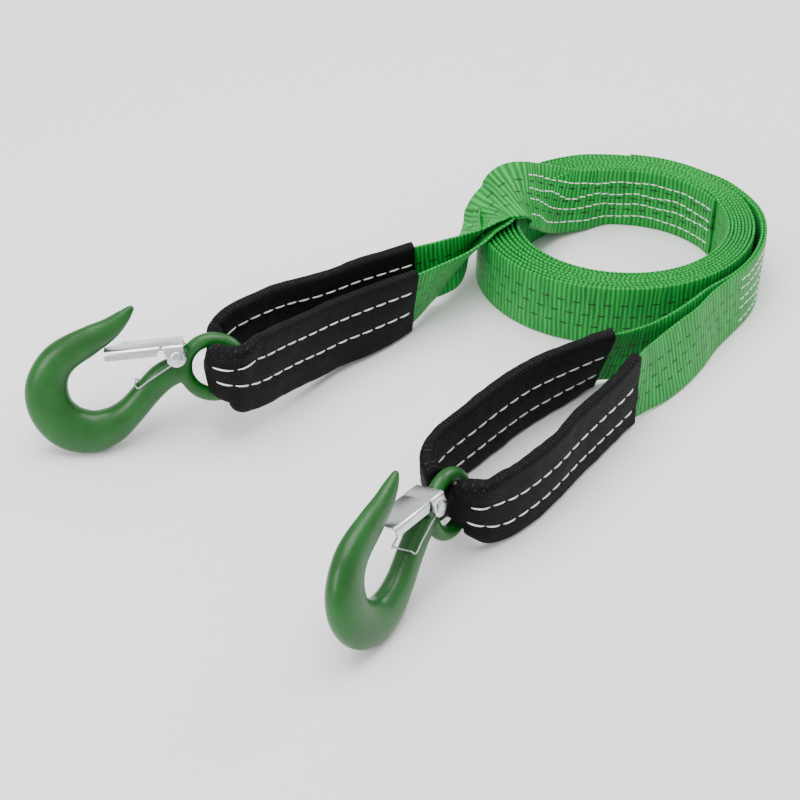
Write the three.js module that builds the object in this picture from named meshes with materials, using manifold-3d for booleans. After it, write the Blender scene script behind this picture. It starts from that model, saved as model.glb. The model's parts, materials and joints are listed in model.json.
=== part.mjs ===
// A recovery strap: a long strip of polyester webbing wound into an oval coil, with a sewn eye at
// each end. A fabric sleeve guards each eye, and each eye holds a forged eye hook whose sprung
// safety latch turns on a rivet. Millimetres, +Z up, lying on a level floor.
import * as THREE from "three";
import * as BufferGeometryUtils from "three/addons/utils/BufferGeometryUtils.js";
import Module from "manifold-3d";

const wasm = await Module();
wasm.setup();

// Webbing: the strip, and the oval coil that it is wound into.
const WEB_WIDTH = 50;
const WEB_THICKNESS = 2.2;
const COIL_TURNS = 9;
const COIL_GROOVE_DEPTH = 2.8;
const COIL_GROOVE_SHARE = 0.3;
const COIL_SEGMENTS = 36;
const COIL_BORE = { centre: [2.5, 0], half: [72.5, 60] };
const COIL_RIM = { centre: [-3.5, 0.3], half: [101.5, 83] };

// Sleeve: a flat woven tube round the webbing of an eye, bunched where it passes the hook.
const SLEEVE_WIDTH = 58;
const SLEEVE_WALL = 2.1;
const SLEEVE_CLEARANCE = 0.55;
const SLEEVE_FLOOR_GAP = 0.3;

// Hook: its eye ring, its stock and the seat of its latch.
const RING_BORE_RADIUS = 13.8;
const RING_STOCK_RADIUS = 4.9;
const RING_SIDES = [10, 32];
const EYE_CLEARANCE = 0.95;
const NECK_LUG_RADIUS = 6;
const NECK_LUG_HALF_WIDTH = 5.8;
const PIVOT = [22, 13.5];
const STOCK_SIDES = 12;
const STOCK_STEPS = 38;

// Latch: a pressed steel channel that straddles the hook, with two round ears on a rivet.
const LATCH_LENGTH = 46;
const LATCH_SHEET = 1.6;
const LATCH_INNER_HALF_WIDTH = 9.6;
const LATCH_FLANGE_DEPTH = 6.3;
const LATCH_WEB_HEIGHT = 8.5;
const LATCH_WEB_START = 9;
const LATCH_FLANGE_SETBACK = 3;
const LATCH_EAR_RADIUS = 6.5;
const LATCH_EAR_ARC = { start: 1.7, end: -0.5, segments: 10 };
const LATCH_TIP_GAP = 0.4;
const LATCH_SWEEP_DEGREES = { from: -20, to: 60, step: 0.1 };
const HOOK_ARM_SHARES = { from: 0.7, to: 0.95, step: 0.005 };
const RIVET_RADIUS = 2.5;
const RIVET_HEAD_RADIUS = 4.2;
const RIVET_HEAD_HEIGHT = 1.3;
const RIVET_CROWN_SHARE = 0.7;
const RIVET_SIDES = 12;
const HOLE_SIDES = 20;
const RIVET_CLEARANCE = 0.3;
const SPRING_WIRE_RADIUS = 0.6;
const SPRING_COIL_RADIUS = 3.8;
const SPRING_TURNS = 1.5;
const SPRING_LEG_END = 24;
const SPRING_LEG_BEND = 15;
const SPRING_LEG_START = 7;
const SPRING_SEAT_SHARE = 0.155;
const SPRING_SHANK_DROP = { from: [-7, 5], depth: 4, corner: 2.4, round: 2.6 };
const SPRING_SIDES = 6;
const SPRING_STEPS = 60;

const FACE_GAP = 0.3;
const DEGREE = Math.PI / 180;
const UP = new THREE.Vector3(0, 0, 1);

// The hook's centre line in its own plane, from the neck round the bowl to the point: distance
// from the ring along the hook, distance towards the throat, width in the plane, thickness.
const HOOK_STATIONS = [
  [17, 1, 14, 9.5],
  [24, 2, 18, 12],
  [33, -0.5, 19, 14],
  [44, -8, 18.6, 15.2],
  [60, -21, 20, 16.5],
  [73, -28, 25, 18],
  [86.6, -29.8, 29, 19],
  [100.7, -23.8, 31, 19.5],
  [109.2, -10.8, 30, 19.5],
  [109.7, 3.6, 28.5, 19],
  [104.5, 15.2, 25.3, 18],
  [95.8, 23.5, 22.9, 17],
  [76.5, 31.5, 19.5, 14],
  [61.7, 37.2, 14.8, 11.5],
  [51, 43.8, 9.5, 8.5],
  [45.6, 48, 5, 5],
];

// Where each hook lies: its ring's centre, the way its bowl points and the way its throat faces.
const HOOK_PLACES = {
  left: { ring: [-280.3, -161.1, 50.2], along: [-0.985, -0.137, -0.105], throat: [-0.15, 0.377, 0.914] },
  right: { ring: [-128.5, -270.4, 32.9], along: [-0.559, -0.822, 0.11], throat: [-0.147, 0.229, 0.962] },
};

// Webbing routes: x, y and height of the strip's middle, and how far it leans from upright, in
// degrees, towards the right of its way of travel. A number after them is how far it is bunched.
const SLEEVE_MID = SLEEVE_WIDTH / 2 + SLEEVE_FLOOR_GAP;
const WEB_MID = WEB_WIDTH / 2;
const DOUBLED_LEFT = [
  [6, 63, WEB_MID, 0],
  [-14, 62, WEB_MID, 2],
  [-32, 60, WEB_MID + 1, 14],
  [-48, 56, WEB_MID + 5, 34],
  [-62, 47, WEB_MID + 15, 55],
  [-75, 36, WEB_MID + 23, 72],
  [-84, 27, WEB_MID + 27, 86],
  [-92, 20, WEB_MID + 25, 102],
  [-99, 11, WEB_MID + 18, 122],
  [-103, -1, WEB_MID + 13, 145],
];
const DOUBLED_RIGHT = [
  [12, 81, WEB_MID, 0],
  [34, 79.5, WEB_MID, 0],
  [50, 75.5, WEB_MID, 0],
  [68, 65.5, WEB_MID, 0],
  [84, 49, WEB_MID, 0],
  [95, 29, WEB_MID, 0],
  [101, 12, WEB_MID, 0],
  [102.3, -3, WEB_MID, 0],
  [99.3, -20, WEB_MID, 2],
  [92, -37, WEB_MID, 4],
  [83, -49, WEB_MID, 5],
  [71, -65, WEB_MID, 6],
  [58, -81, WEB_MID, 10],
  [46, -101, WEB_MID, 12],
];
const EYE_LEFT = [
  [-99, 12, 43, -60],
  [-103.5, -1, 38, -35],
  [-109, -15, 35, -15],
  [-118, -27, 33, -4],
  [-131, -34, 31.5, 0],
  [-149, -40, 30.5, 0],
  [-168, -50, 30.5, 0],
  [-190, -63, 32, 0],
  [-212, -79, 34, 0],
  [-235, -93, 37, 0],
  [-257, -113, 42, 0],
  [-272, -128, 44, 0, 0.1],
  [-279.5, -139.5, 44, 0, 0.3],
  "hook",
  [-264.5, -176.5, 56, 0, 0.36],
  [-252, -166, 50, 0],
  [-237, -147, 44, 0],
  [-220, -127, 38, 0],
  [-199, -105, 33, 0],
  [-175, -87, 30.5, 0],
  [-150, -68, 30, 8],
  [-131, -48, 30.5, 20],
  [-119, -35, 32, 28],
  [-110, -21, 35, 33],
  [-104, -6, 38, 42],
  [-99, 7, 42, 58],
];
const EYE_RIGHT = [
  [58, -82, WEB_MID, 10],
  [46, -102, WEB_MID, 12],
  [33, -119, WEB_MID, 15],
  [18, -135, WEB_MID, 14],
  [6, -147, 26.5, 9],
  [-4, -160, SLEEVE_MID, 3],
  [-14, -174, SLEEVE_MID, 0],
  [-30, -194, SLEEVE_MID, 0],
  [-47, -216, SLEEVE_MID, 0],
  [-62, -237, SLEEVE_MID, 0],
  [-78, -255, SLEEVE_MID, 0],
  [-94, -269, SLEEVE_MID + 1, 0],
  [-107, -275, SLEEVE_MID + 4, 0, 0.32],
  "hook",
  [-141, -252, SLEEVE_MID + 1, 0, 0.3],
  [-139, -239, SLEEVE_MID, 0],
  [-129, -223, SLEEVE_MID, 0],
  [-112, -204, SLEEVE_MID, 0],
  [-95, -185, SLEEVE_MID, 0],
  [-77, -167, SLEEVE_MID, 2],
  [-58, -152, SLEEVE_MID, 5],
  [-39, -139, SLEEVE_MID, 10],
  [-22, -127, 28, 14],
  [-6, -121, 26, 9],
  [11, -116, WEB_MID, 0],
  [28, -108, WEB_MID, -7],
  [42, -95, WEB_MID, -10],
  [55, -78, WEB_MID, -9],
];

// The stations of each route at which its sleeve starts and ends.
const SLEEVE_SPAN = { left: [5, -6], right: [5, -6] };
const STEPS_PER_STATION = 2;
const RING_PASS = { reachInStockRadii: 2.3, bunchedAtEnds: 0.5 };
const BUNDLE_SLACK = [4, 7];
const BAND_SIDES = 8;

const FINISHES = {
  webbing: { color: 0x0fb24a, roughness: 0.62, metalness: 0 },
  sleeve: { color: 0x0b0c0d, roughness: 0.86, metalness: 0 },
  hook: { color: 0x1f6b28, roughness: 0.38, metalness: 0.1 },
  latch: { color: 0xb9c0c2, roughness: 0.28, metalness: 0.9 },
  rivet: { color: 0xa9afb2, roughness: 0.3, metalness: 0.9 },
  spring: { color: 0x8b9093, roughness: 0.3, metalness: 0.9 },
};

// A closed three.js geometry as a solid that can be joined and cut.
function toSolid(geometry) {
  const bare = geometry.clone();
  bare.deleteAttribute("normal");
  bare.deleteAttribute("uv");
  const merged = BufferGeometryUtils.mergeVertices(bare, 1e-4);
  const vertProperties = new Float32Array(merged.attributes.position.array);
  const triVerts = new Uint32Array(merged.index.array);
  return new wasm.Manifold(new wasm.Mesh({ numProp: 3, vertProperties, triVerts }));
}

function toGeometry(solid) {
  const { vertProperties, triVerts } = solid.getMesh();
  const geometry = new THREE.BufferGeometry();
  geometry.setAttribute("position", new THREE.BufferAttribute(vertProperties, 3));
  geometry.setIndex(new THREE.BufferAttribute(triVerts, 1));
  geometry.computeVertexNormals();
  return geometry;
}

function roundOutline(sides, radius) {
  const corners = [];
  for (let i = 0; i < sides; i += 1) {
    const angle = ((i + 0.5) / sides) * 2 * Math.PI;
    corners.push(new THREE.Vector2(radius * Math.cos(angle), radius * Math.sin(angle)));
  }
  return corners;
}

// Extrudes a section by one unit, then moves each of its points by `place(x, y, share of way)`.
function sweep(section, steps, place) {
  const geometry = new THREE.ExtrudeGeometry(section, { depth: 1, steps, bevelEnabled: false });
  const position = geometry.attributes.position;
  for (let i = 0; i < position.count; i += 1) {
    const point = place(position.getX(i), position.getY(i), position.getZ(i));
    position.setXYZ(i, point.x, point.y, point.z);
  }
  return geometry;
}

// A route of leaning stations. `frame` gives the middle, the axes across the strip and the share
// by which it is bunched, at a place counted in stations.
class Route {
  constructor(stations) {
    this.stations = stations;
    this.last = stations.length - 1;
    this.curve = new THREE.CatmullRomCurve3(stations.map(([x, y, z]) => new THREE.Vector3(x, y, z)));
  }

  between(place, column) {
    const from = Math.min(Math.floor(place), this.last - 1);
    const values = [this.stations[from], this.stations[from + 1]].map((station) => station[column] ?? 0);
    return THREE.MathUtils.lerp(values[0], values[1], place - from);
  }

  frame(place) {
    const middle = this.curve.getPoint(place / this.last);
    const ahead = this.curve.getTangent(place / this.last);
    const side = new THREE.Vector3().crossVectors(ahead, UP).normalize();
    const upright = new THREE.Vector3().crossVectors(side, ahead);
    const lean = this.between(place, 3) * DEGREE;
    const along = upright.multiplyScalar(Math.cos(lean)).addScaledVector(side, Math.sin(lean));
    const across = new THREE.Vector3().crossVectors(along, ahead);
    return { middle, along, across, bunched: this.between(place, 4) };
  }
}

// A flat band with round edges, between two places of a route that are counted in stations.
function band(route, from, to, size) {
  const section = new THREE.Shape(roundOutline(BAND_SIDES, 1));
  return sweep(section, Math.round((to - from) * STEPS_PER_STATION), (x, y, share) => {
    const { middle, along, across, bunched } = route.frame(THREE.MathUtils.lerp(from, to, share));
    const width = THREE.MathUtils.lerp(size.flat[0], size.bunched[0], bunched);
    const thickness = THREE.MathUtils.lerp(size.flat[1], size.bunched[1], bunched);
    const straight = (Math.sign(y) * (width - thickness)) / 2;
    return middle
      .addScaledVector(along, straight + (y * thickness) / 2)
      .addScaledVector(across, (x * thickness) / 2);
  });
}

// In the hook's ring the sleeve fills the bore, and the webbing fills the sleeve.
const bunchedSleeve = BUNDLE_SLACK.map((slack) => 2 * (RING_BORE_RADIUS - EYE_CLEARANCE) - slack);
const bunchedHollow = bunchedSleeve.map((size) => size - 2 * SLEEVE_WALL);
const BAND_SIZES = {
  strip: {
    flat: [WEB_WIDTH, WEB_THICKNESS],
    bunched: bunchedHollow.map((size) => size - 2 * SLEEVE_CLEARANCE),
  },
  doubled: { flat: [WEB_WIDTH, 2 * WEB_THICKNESS], bunched: [WEB_WIDTH, 2 * WEB_THICKNESS] },
  hollow: {
    flat: [WEB_WIDTH + 2 * SLEEVE_CLEARANCE, WEB_THICKNESS + 2 * SLEEVE_CLEARANCE],
    bunched: bunchedHollow,
  },
  sleeve: {
    flat: [SLEEVE_WIDTH, WEB_THICKNESS + 2 * SLEEVE_CLEARANCE + 2 * SLEEVE_WALL],
    bunched: bunchedSleeve,
  },
};

function hookAxes({ ring, along, throat }) {
  const u = new THREE.Vector3(...along).normalize();
  const w = new THREE.Vector3().crossVectors(u, new THREE.Vector3(...throat)).normalize();
  const v = new THREE.Vector3().crossVectors(w, u);
  return { u, v, w, centre: new THREE.Vector3(...ring) };
}

// An eye's route runs through its hook's ring, square to it and pulled against its stock.
function eyeRoute(stations, place) {
  const { u, w, centre } = hookAxes(place);
  const pulled = RING_BORE_RADIUS - bunchedSleeve[1] / 2 - EYE_CLEARANCE;
  const inRing = centre.clone().addScaledVector(u, -pulled);
  const gap = stations.indexOf("hook");
  const before = new THREE.Vector3(...stations[gap - 1].slice(0, 3));
  const ahead = w.clone().multiplyScalar(Math.sign(inRing.clone().sub(before).dot(w)));
  const reach = RING_PASS.reachInStockRadii * RING_STOCK_RADIUS;
  const through = [-reach, 0, reach].map((distance) => {
    const point = inRing.clone().addScaledVector(ahead, distance);
    return [...point.toArray(), 0, distance === 0 ? 1 : RING_PASS.bunchedAtEnds];
  });
  return new Route([...stations.slice(0, gap), ...through, ...stations.slice(gap + 1)]);
}

const eyes = {
  left: eyeRoute(EYE_LEFT, HOOK_PLACES.left),
  right: eyeRoute(EYE_RIGHT, HOOK_PLACES.right),
};

// The coil: one oval ring whose end faces are grooved between its turns.
function coilGeometry() {
  const profile = [];
  const pitch = 1 / COIL_TURNS;
  const half = (COIL_GROOVE_SHARE * pitch) / 2;
  for (let turn = 0; turn < COIL_TURNS; turn += 1) {
    profile.push([turn * pitch + (turn > 0 ? half : 0), 0]);
    profile.push([(turn + 1) * pitch - (turn < COIL_TURNS - 1 ? half : 0), 0]);
    if (turn < COIL_TURNS - 1) profile.push([(turn + 1) * pitch, COIL_GROOVE_DEPTH]);
  }
  const top = profile.map(([share, height]) => [share, WEB_WIDTH - height]).reverse();
  const outline = [...profile, ...top, profile[0]];
  const points = outline.map(([share, height]) => new THREE.Vector2(1 + share, height));
  const geometry = new THREE.LatheGeometry(points, COIL_SEGMENTS);
  const position = geometry.attributes.position;
  for (let i = 0; i < position.count; i += 1) {
    const [x, z] = [position.getX(i), position.getZ(i)];
    const share = Math.hypot(x, z) - 1;
    const angle = Math.atan2(-z, x);
    const [bore, rim] = [COIL_BORE, COIL_RIM].map(({ centre, half: radii }) => [
      centre[0] + radii[0] * Math.cos(angle),
      centre[1] + radii[1] * Math.sin(angle),
    ]);
    const height = position.getY(i);
    position.setXYZ(
      i,
      THREE.MathUtils.lerp(bore[0], rim[0], share),
      THREE.MathUtils.lerp(bore[1], rim[1], share),
      height,
    );
  }
  return geometry;
}

function webbing() {
  const { strip, doubled } = BAND_SIZES;
  const tails = [DOUBLED_LEFT, DOUBLED_RIGHT].map((stations) => {
    const route = new Route(stations);
    return band(route, 0, route.last, doubled);
  });
  const loops = Object.values(eyes).map((route) => band(route, 0, route.last, strip));
  const joined = [...tails, ...loops].reduce((solid, piece) => solid.add(toSolid(piece)), toSolid(coilGeometry()));
  // The narrow hollows closed in between touching plies are filled.
  const shells = joined.decompose().filter((shell) => shell.volume() > 0);
  return shells.reduce((solid, shell) => solid.add(shell));
}

function sleeve(side) {
  const route = eyes[side];
  const [from, to] = SLEEVE_SPAN[side];
  const past = 1 / STEPS_PER_STATION;
  const tube = toSolid(band(route, from, route.last + to, BAND_SIZES.sleeve));
  const hollow = toSolid(band(route, from - past, route.last + to + past, BAND_SIZES.hollow));
  return tube.subtract(hollow);
}

const hookLine = new THREE.CatmullRomCurve3(HOOK_STATIONS.map(([u, v]) => new THREE.Vector3(u, v, 0)));
const hookGirth = new THREE.CatmullRomCurve3(
  HOOK_STATIONS.map(([, , width, thickness]) => new THREE.Vector3(width, thickness, 0)),
);

// A point on the hook's stock: `x` across it in its plane and `y` through it, from -1 to 1.
function hookPoint(x, y, share) {
  const middle = hookLine.getPoint(share);
  const inward = new THREE.Vector3().crossVectors(UP, hookLine.getTangent(share));
  const girth = hookGirth.getPoint(share);
  return middle.addScaledVector(inward, (x * girth.x) / 2).addScaledVector(UP, (y * girth.y) / 2);
}

function cylinder(radius, halfLength, [x, y], sides = HOLE_SIDES) {
  const geometry = new THREE.CylinderGeometry(radius, radius, 2 * halfLength, sides);
  return geometry.rotateX(Math.PI / 2).translate(x, y, 0);
}

// The forged hook: stock from the neck to the point, its eye ring, and the drilled latch lug.
function hook() {
  const stock = sweep(new THREE.Shape(roundOutline(STOCK_SIDES, 1)), STOCK_STEPS, hookPoint);
  const ringRadius = RING_BORE_RADIUS + RING_STOCK_RADIUS;
  const ring = new THREE.TorusGeometry(ringRadius, RING_STOCK_RADIUS, ...RING_SIDES);
  const bore = cylinder(RING_BORE_RADIUS - FACE_GAP, 2 * RING_STOCK_RADIUS, [0, 0], RING_SIDES[1]);
  const lug = cylinder(NECK_LUG_RADIUS, NECK_LUG_HALF_WIDTH, PIVOT);
  const drilling = cylinder(RIVET_RADIUS + RIVET_CLEARANCE, 3 * NECK_LUG_HALF_WIDTH, PIVOT);
  return toSolid(stock).subtract(toSolid(bore)).add(toSolid(ring)).add(toSolid(lug)).subtract(toSolid(drilling));
}

// The hook's inner outline between its bowl and its point, as points in the hook's plane.
function armInnerOutline() {
  const points = [];
  const { from, to, step } = HOOK_ARM_SHARES;
  for (let share = from; share <= to; share += step) points.push(hookPoint(1, 0, share));
  return points;
}

// The latch's rest angle: it turns out from the hook until its free end meets the hook's arm.
function latchRestAngle() {
  const outline = armInnerOutline();
  const { from, to, step } = LATCH_SWEEP_DEGREES;
  let angle = from * DEGREE;
  for (let turn = angle; turn < to * DEGREE; turn += step * DEGREE) {
    const ahead = new THREE.Vector3(Math.cos(turn), Math.sin(turn), 0);
    const outward = new THREE.Vector3(-Math.sin(turn), Math.cos(turn), 0);
    const clear = outline.every((point) => {
      const offset = point.clone().sub(new THREE.Vector3(...PIVOT, 0));
      return offset.dot(ahead) > LATCH_LENGTH || offset.dot(outward) > LATCH_WEB_HEIGHT + LATCH_TIP_GAP;
    });
    if (!clear) break;
    angle = turn;
  }
  return angle;
}

// The latch, with its rivet hole at the origin and its length along +X.
function latch() {
  const plate = new THREE.Shape();
  plate.moveTo(LATCH_LENGTH, LATCH_WEB_HEIGHT);
  plate.lineTo(LATCH_WEB_START, LATCH_WEB_HEIGHT);
  plate.absarc(0, 0, LATCH_EAR_RADIUS, LATCH_EAR_ARC.start, LATCH_EAR_ARC.end, false);
  plate.lineTo(LATCH_WEB_START + LATCH_FLANGE_SETBACK, LATCH_WEB_HEIGHT - LATCH_FLANGE_DEPTH);
  plate.lineTo(LATCH_LENGTH, LATCH_WEB_HEIGHT - LATCH_FLANGE_DEPTH);
  plate.holes.push(new THREE.Path(roundOutline(HOLE_SIDES, RIVET_RADIUS + RIVET_CLEARANCE)));
  const side = new THREE.ExtrudeGeometry(plate, {
    depth: LATCH_SHEET,
    bevelEnabled: false,
    curveSegments: LATCH_EAR_ARC.segments,
  });
  const near = side.clone().translate(0, 0, LATCH_INNER_HALF_WIDTH);
  const far = side.clone().translate(0, 0, -LATCH_INNER_HALF_WIDTH - LATCH_SHEET);
  const webLength = LATCH_LENGTH - LATCH_WEB_START;
  const web = new THREE.BoxGeometry(webLength, LATCH_SHEET, 2 * (LATCH_INNER_HALF_WIDTH + LATCH_SHEET / 2));
  web.translate(LATCH_WEB_START + webLength / 2, LATCH_WEB_HEIGHT - LATCH_SHEET / 2, 0);
  return toSolid(near).add(toSolid(far)).add(toSolid(web));
}

// The rivet: a pin with two low domed heads outside the latch's ears.
function rivetGeometry() {
  const grip = LATCH_INNER_HALF_WIDTH + LATCH_SHEET + RIVET_CLEARANCE;
  const half = [
    [RIVET_RADIUS, grip],
    [RIVET_HEAD_RADIUS, grip],
    [RIVET_HEAD_RADIUS, grip + RIVET_HEAD_HEIGHT / 2],
    [RIVET_HEAD_RADIUS * RIVET_CROWN_SHARE, grip + RIVET_HEAD_HEIGHT],
    [0, grip + RIVET_HEAD_HEIGHT],
  ];
  const lower = half.map(([radius, height]) => [radius, -height]).reverse();
  const points = [...lower, ...half].map(([radius, height]) => new THREE.Vector2(radius, height));
  return new THREE.LatheGeometry(points, RIVET_SIDES).rotateX(Math.PI / 2);
}

// The latch spring: from under the latch's web, round the rivet, and across the hook's shank,
// then back the same way on the other side.
function springGeometry(restAngle) {
  const underWeb = LATCH_WEB_HEIGHT - LATCH_SHEET - SPRING_WIRE_RADIUS - FACE_GAP;
  const inner = NECK_LUG_HALF_WIDTH + SPRING_WIRE_RADIUS + FACE_GAP;
  const outer = LATCH_INNER_HALF_WIDTH - SPRING_WIRE_RADIUS - FACE_GAP;
  const half = [
    new THREE.Vector3(SPRING_LEG_END, underWeb, inner),
    new THREE.Vector3(SPRING_LEG_BEND, underWeb, inner),
    new THREE.Vector3(SPRING_LEG_START, (underWeb + SPRING_COIL_RADIUS) / 2, inner),
  ];
  const coilPoints = 12;
  for (let i = 0; i <= coilPoints; i += 1) {
    const angle = Math.PI / 2 + (i / coilPoints) * SPRING_TURNS * 2 * Math.PI;
    const height = THREE.MathUtils.lerp(inner, outer, i / coilPoints);
    const turned = new THREE.Vector2(Math.cos(angle), Math.sin(angle)).multiplyScalar(SPRING_COIL_RADIUS);
    half.push(new THREE.Vector3(turned.x, turned.y, height));
  }
  half.forEach((point) => point.applyAxisAngle(UP, restAngle));
  half.forEach((point) => point.add(new THREE.Vector3(...PIVOT, 0)));
  const lift = SPRING_WIRE_RADIUS + FACE_GAP;
  const across = hookPoint(1, 0, SPRING_SEAT_SHARE);
  const inward = new THREE.Vector3().crossVectors(UP, hookLine.getTangent(SPRING_SEAT_SHARE));
  const bar = across.addScaledVector(inward, lift);
  const { from, depth, corner, round } = SPRING_SHANK_DROP;
  half.push(bar.clone().addScaledVector(inward, -depth).add(new THREE.Vector3(...from, outer)));
  half.push(bar.clone().addScaledVector(inward, -corner).setZ(outer));
  half.push(bar.clone().setZ(outer - round));
  const mirrored = half.map((point) => point.clone().setZ(-point.z)).reverse();
  const path = new THREE.CatmullRomCurve3([...half, bar, ...mirrored]);
  const wire = new THREE.Shape(roundOutline(SPRING_SIDES, SPRING_WIRE_RADIUS));
  return new THREE.ExtrudeGeometry(wire, { steps: SPRING_STEPS, bevelEnabled: false, extrudePath: path });
}

function mesh(name, geometry, finish) {
  const made = new THREE.Mesh(geometry, new THREE.MeshStandardMaterial(FINISHES[finish]));
  made.name = name;
  return made;
}

// One end fitting: the hook with its rivet, spring and latch, placed by its ring.
function endFitting(side, place) {
  const { u, v, w, centre } = hookAxes(place);
  const fitting = new THREE.Group();
  fitting.setRotationFromMatrix(new THREE.Matrix4().makeBasis(u, v, w));
  fitting.position.copy(centre);
  const restAngle = latchRestAngle();
  const latchMesh = mesh(`latch_${side}`, toGeometry(latch()), "latch");
  latchMesh.position.set(...PIVOT, 0);
  latchMesh.rotation.z = restAngle;
  const rivet = mesh(`latch_rivet_${side}`, rivetGeometry(), "rivet");
  rivet.position.set(...PIVOT, 0);
  fitting.add(mesh(`hook_${side}`, toGeometry(hook()), "hook"), latchMesh, rivet);
  fitting.add(mesh(`latch_spring_${side}`, springGeometry(restAngle), "spring"));
  return fitting;
}

const strap = new THREE.Group();
strap.add(mesh("webbing", toGeometry(webbing()), "webbing"));
for (const side of ["left", "right"]) {
  strap.add(mesh(`sleeve_${side}`, toGeometry(sleeve(side)), "sleeve"));
  strap.add(endFitting(side, HOOK_PLACES[side]));
}

// The part's origin is on the floor, under the middle of its outline.
const bounds = new THREE.Box3().setFromObject(strap, true);
const middle = bounds.getCenter(new THREE.Vector3());
strap.position.set(-middle.x, -middle.y, -bounds.min.z);

export default strap;
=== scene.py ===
"""A recovery strap lying on a pale floor: its looks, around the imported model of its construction.

The strap is one strip of green webbing, wound into an oval coil, with a sewn eye at each end. Each
eye has a black woven sleeve and holds a forged hook with a sprung safety latch. Lengths in this
script are in millimetres, measured from the middle of the coil on the floor, and are turned into
metres in the model's frame where a mesh is placed.
"""

import bisect
import json
import logging
import math
from dataclasses import dataclass, field
from enum import Enum
from typing import Callable, Iterable, Sequence

import bmesh
import bpy
from mathutils import Matrix, Vector, noise


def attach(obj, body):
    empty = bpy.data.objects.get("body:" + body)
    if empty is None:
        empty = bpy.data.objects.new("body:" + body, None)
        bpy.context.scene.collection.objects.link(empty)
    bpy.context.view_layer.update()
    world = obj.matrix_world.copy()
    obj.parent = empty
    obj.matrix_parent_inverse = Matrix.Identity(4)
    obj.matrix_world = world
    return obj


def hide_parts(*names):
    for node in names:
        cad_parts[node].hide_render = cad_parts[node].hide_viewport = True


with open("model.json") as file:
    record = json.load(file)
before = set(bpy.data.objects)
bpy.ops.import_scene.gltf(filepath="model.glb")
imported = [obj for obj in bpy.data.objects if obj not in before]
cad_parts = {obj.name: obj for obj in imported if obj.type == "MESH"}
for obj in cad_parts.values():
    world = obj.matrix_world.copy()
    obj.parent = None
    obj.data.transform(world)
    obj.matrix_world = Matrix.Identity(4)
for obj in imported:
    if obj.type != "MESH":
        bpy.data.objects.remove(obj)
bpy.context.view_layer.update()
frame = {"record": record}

LOG = logging.getLogger("strap")
UP = Vector((0.0, 0.0, 1.0))
MILLIMETRE = 0.001
FULL_TURN = 360.0
WELD = 1e-4

Station = tuple[float, ...]
Place = Callable[[float, float], Vector]


class Side(Enum):
    """The two ends of the strap."""

    LEFT = "left"
    RIGHT = "right"


class Body(Enum):
    """The bodies that the pieces ride on, without the side."""

    STRAP = "strap"
    HOOK = "hook"
    LATCH = "latch"

    def of(self, side: Side | None = None) -> str:
        """Returns the body's name in the frame.

        Args:
            side: the end of the strap, or None for the strap itself.

        Returns:
            The name of the body.
        """
        return self.value if side is None else f"{self.value}_{side.value}"


@dataclass(frozen=True)
class HookPlace:
    """Where a hook lies: its ring's centre, the way its bowl points and its throat's way."""

    ring: Vector
    along: Vector
    throat: Vector

    @property
    def axes(self) -> tuple[Vector, Vector, Vector]:
        """Returns the unit vectors along the hook, towards its throat and through it."""
        u = self.along.normalized()
        w = u.cross(self.throat).normalized()
        return u, w.cross(u), w

    def matrix(self) -> Matrix:
        """Returns the matrix from the hook's own frame to the coil's frame."""
        turned = Matrix(self.axes).transposed().to_4x4()
        return Matrix.Translation(self.ring) @ turned


HOOK_PLACES: dict[Side, HookPlace] = {
    Side.LEFT: HookPlace(
        ring=Vector((-280.3, -161.1, 50.2)),
        along=Vector((-0.985, -0.137, -0.105)),
        throat=Vector((-0.15, 0.377, 0.914)),
    ),
    Side.RIGHT: HookPlace(
        ring=Vector((-128.5, -270.4, 32.9)),
        along=Vector((-0.559, -0.822, 0.11)),
        throat=Vector((-0.147, 0.229, 0.962)),
    ),
}


def frame_shift() -> Vector:
    """Returns the coil's centre in the model's frame, in millimetres.

    A hook's swing joint is at its ring's centre, so the one joint gives the shift.
    """
    joints = {joint["name"]: joint for joint in frame["record"]["behaviour"]["joints"]}
    ring = Vector(joints["hook_swing_left"]["pos_m"]) / MILLIMETRE
    return ring - HOOK_PLACES[Side.LEFT].ring


SHIFT = frame_shift()


# Meshes


def wrap_grid(
    bm: bmesh.types.BMesh, steps: int, sides: int, place: Place, uv: Place | None = None
) -> None:
    """Adds a closed tube to a mesh: a grid whose long sides are joined and whose ends are filled.

    Args:
        bm: the mesh that gets the tube.
        steps: the number of faces along the tube.
        sides: the number of faces round it.
        place: gives a point for a step and a side, both counted from 0.
        uv: gives a map point in the same way, or None for no map.
    """
    made = bmesh.ops.create_grid(bm, x_segments=steps, y_segments=sides, size=0.5)["verts"]
    rows: dict[bmesh.types.BMVert, tuple[int, int]] = {}
    for vert in made:
        rows[vert] = (round((vert.co.x + 0.5) * steps), round((vert.co.y + 0.5) * sides))
    for vert, (step, side) in rows.items():
        vert.co = place(step, side % sides)
    faces = {face for vert in made for face in vert.link_faces}
    if uv is not None:
        layer = bm.loops.layers.uv.verify()
        for face in faces:
            for loop in face.loops:
                loop[layer].uv = uv(*rows[loop.vert])[:2]
    first = {step: vert for vert, (step, side) in rows.items() if side == 0}
    last = {vert: first[step] for vert, (step, side) in rows.items() if side == sides}
    bmesh.ops.weld_verts(bm, targetmap=last)
    edges = {edge for face in faces if face.is_valid for edge in face.edges}
    bmesh.ops.holes_fill(bm, edges=[edge for edge in edges if edge.is_boundary], sides=0)


def add_object(name: str, data: bpy.types.ID) -> bpy.types.Object:
    """Makes an object of some data and links it to the scene."""
    made = bpy.data.objects.new(name, data)
    bpy.context.scene.collection.objects.link(made)
    return made


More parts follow.
